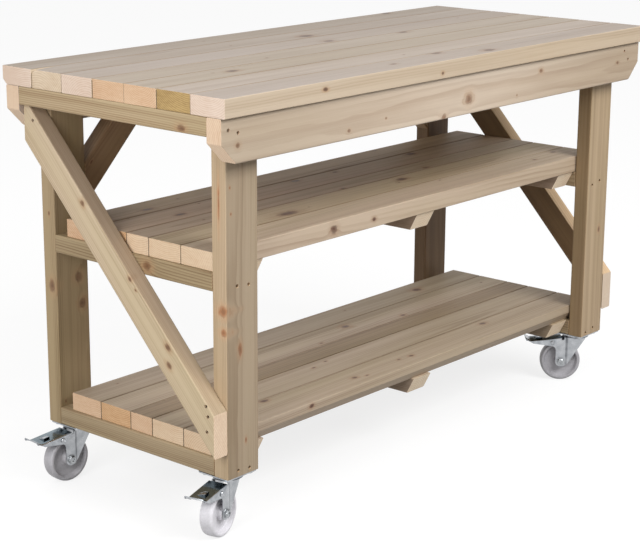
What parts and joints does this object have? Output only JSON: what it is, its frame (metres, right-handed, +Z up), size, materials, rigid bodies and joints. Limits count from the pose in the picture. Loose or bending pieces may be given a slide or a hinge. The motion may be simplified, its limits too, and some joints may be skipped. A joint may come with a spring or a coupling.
{
  "type": "mobile workbench",
  "caption": "Softwood workbench with a boarded top, two storage shelves, diagonal end braces and braked swivel casters.",
  "frame": {"origin": "on the floor, under the middle of the bench", "axes": "+X along the bench to its right end, -Y its front, +Z up"},
  "size_m": [1.5293, 0.626, 0.8929],
  "materials": {
    "tabletop_timber": "planed softwood, treated, unvarnished",
    "rail_timber": "planed softwood, treated, unvarnished",
    "post_timber": "planed softwood, treated, unvarnished",
    "shelf_timber": "planed softwood, treated, unvarnished",
    "brace_timber": "planed softwood, treated, unvarnished",
    "zinc_plate": "pressed sheet steel, zinc plated",
    "bright_steel": "bright zinc plate",
    "white_nylon": "moulded, satin"
  },
  "bodies": {
    "bench": {"top_board_1": "tabletop_timber", "top_board_2": "tabletop_timber", "top_board_3": "tabletop_timber", "top_board_4": "tabletop_timber", "top_board_5": "tabletop_timber", "top_board_6": "tabletop_timber", "top_board_7": "tabletop_timber", "rail_front": "rail_timber", "rail_back": "rail_timber", "end_rail_left": "rail_timber", "end_rail_right": "rail_timber", "top_bearer": "rail_timber", "post_front_left": "post_timber", "post_front_right": "post_timber", "post_back_left": "post_timber", "post_back_right": "post_timber", "mid_board_1": "shelf_timber", "mid_board_2": "shelf_timber", "mid_board_3": "shelf_timber", "mid_board_4": "shelf_timber", "mid_board_5": "shelf_timber", "mid_bearer_left": "shelf_timber", "mid_bearer_right": "shelf_timber", "mid_batten_left": "shelf_timber", "mid_batten_centre": "shelf_timber", "mid_batten_right": "shelf_timber", "bottom_board_1": "shelf_timber", "bottom_board_2": "shelf_timber", "bottom_board_3": "shelf_timber", "bottom_board_4": "shelf_timber", "bottom_board_5": "shelf_timber", "bottom_bearer_left": "shelf_timber", "bottom_bearer_right": "shelf_timber", "bottom_batten_left": "shelf_timber", "bottom_batten_centre": "shelf_timber", "bottom_batten_right": "shelf_timber", "end_brace_left": "brace_timber", "end_brace_right": "brace_timber", "knee_brace_left": "brace_timber", "knee_brace_right": "brace_timber", "caster_plate_front_left": "zinc_plate", "caster_plate_front_right": "zinc_plate", "caster_plate_back_left": "zinc_plate", "caster_plate_back_right": "zinc_plate"},
    "swivel_front_left": {"fork_front_left": "zinc_plate", "axle_front_left": "bright_steel"},
    "wheel_front_left": {"wheel_front_left": "white_nylon"},
    "pedal_front_left": {"pedal_front_left": "bright_steel"},
    "swivel_front_right": {"fork_front_right": "zinc_plate", "axle_front_right": "bright_steel"},
    "wheel_front_right": {"wheel_front_right": "white_nylon"},
    "pedal_front_right": {"pedal_front_right": "bright_steel"},
    "swivel_back_left": {"fork_back_left": "zinc_plate", "axle_back_left": "bright_steel"},
    "wheel_back_left": {"wheel_back_left": "white_nylon"},
    "pedal_back_left": {"pedal_back_left": "bright_steel"},
    "swivel_back_right": {"fork_back_right": "zinc_plate", "axle_back_right": "bright_steel"},
    "wheel_back_right": {"wheel_back_right": "white_nylon"},
    "pedal_back_right": {"pedal_back_right": "bright_steel"}
  },
  "joints": [
    {"name": "swivel_turn_front_left", "type": "hinge", "parent": "bench", "child": "swivel_front_left", "pos_m": [-0.6355, -0.2207, 0.1208], "axis": [0, 0, 1], "continuous": true},
    {"name": "wheel_spin_front_left", "type": "hinge", "parent": "swivel_front_left", "child": "wheel_front_left", "pos_m": [-0.67253, -0.22925, 0.05], "axis": [0.225, -0.9744, 0], "continuous": true},
    {"name": "pedal_press_front_left", "type": "hinge", "parent": "swivel_front_left", "child": "pedal_front_left", "pos_m": [-0.69396, -0.2342, 0.0998], "axis": [0.225, -0.9744, 0], "range_deg": [0, 10]},
    {"name": "swivel_turn_front_right", "type": "hinge", "parent": "bench", "child": "swivel_front_right", "pos_m": [0.6355, -0.2207, 0.1208], "axis": [0, 0, 1], "continuous": true},
    {"name": "wheel_spin_front_right", "type": "hinge", "parent": "swivel_front_right", "child": "wheel_front_right", "pos_m": [0.61107, -0.19159, 0.05], "axis": [-0.766, -0.6428, 0], "continuous": true},
    {"name": "pedal_press_front_right", "type": "hinge", "parent": "swivel_front_right", "child": "pedal_front_right", "pos_m": [0.59693, -0.17474, 0.0998], "axis": [-0.766, -0.6428, 0], "range_deg": [0, 10]},
    {"name": "swivel_turn_back_left", "type": "hinge", "parent": "bench", "child": "swivel_back_left", "pos_m": [-0.6355, 0.2207, 0.1208], "axis": [0, 0, 1], "continuous": true},
    {"name": "wheel_spin_back_left", "type": "hinge", "parent": "swivel_back_left", "child": "wheel_back_left", "pos_m": [-0.67341, 0.22335, 0.05], "axis": [-0.0698, -0.9976, 0], "continuous": true},
    {"name": "pedal_press_back_left", "type": "hinge", "parent": "swivel_back_left", "child": "pedal_back_left", "pos_m": [-0.69535, 0.22489, 0.0998], "axis": [-0.0698, -0.9976, 0], "range_deg": [0, 10]},
    {"name": "swivel_turn_back_right", "type": "hinge", "parent": "bench", "child": "swivel_back_right", "pos_m": [0.6355, 0.2207, 0.1208], "axis": [0, 0, 1], "continuous": true},
    {"name": "wheel_spin_back_right", "type": "hinge", "parent": "swivel_back_right", "child": "wheel_back_right", "pos_m": [0.67341, 0.22335, 0.05], "axis": [-0.0698, 0.9976, 0], "continuous": true},
    {"name": "pedal_press_back_right", "type": "hinge", "parent": "swivel_back_right", "child": "pedal_back_right", "pos_m": [0.69535, 0.22489, 0.0998], "axis": [-0.0698, 0.9976, 0], "range_deg": [0, 10]}
  ]
}
